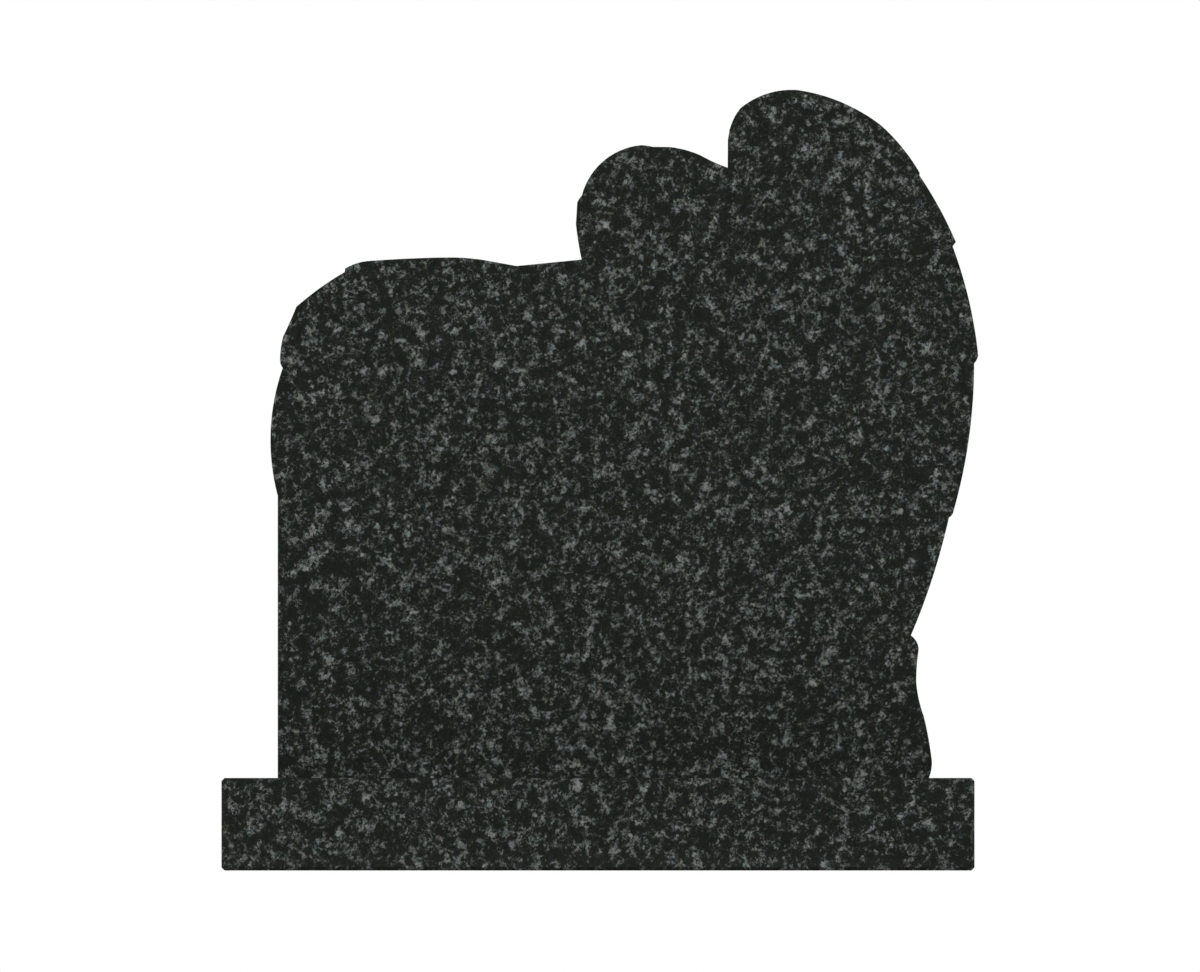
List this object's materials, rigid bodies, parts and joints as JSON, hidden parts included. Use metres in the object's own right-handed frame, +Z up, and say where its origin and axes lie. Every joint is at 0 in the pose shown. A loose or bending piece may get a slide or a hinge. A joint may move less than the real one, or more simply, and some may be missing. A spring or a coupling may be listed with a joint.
{
  "type": "headstone",
  "caption": "Polished dark granite headstone: an upright shaped tablet, with a heart and a folded wing in its outline, standing on a low rectangular base.",
  "frame": {"origin": "middle of the base's underside", "axes": "+Z up, -Y out of the tablet's polished front face, +X to the right as seen from the front, towards the wing"},
  "size_m": [0.613, 0.305, 0.6324],
  "materials": {
    "granite": "polished"
  },
  "bodies": {
    "root": {"tablet": "granite", "base": "granite"}
  },
  "joints": []
}
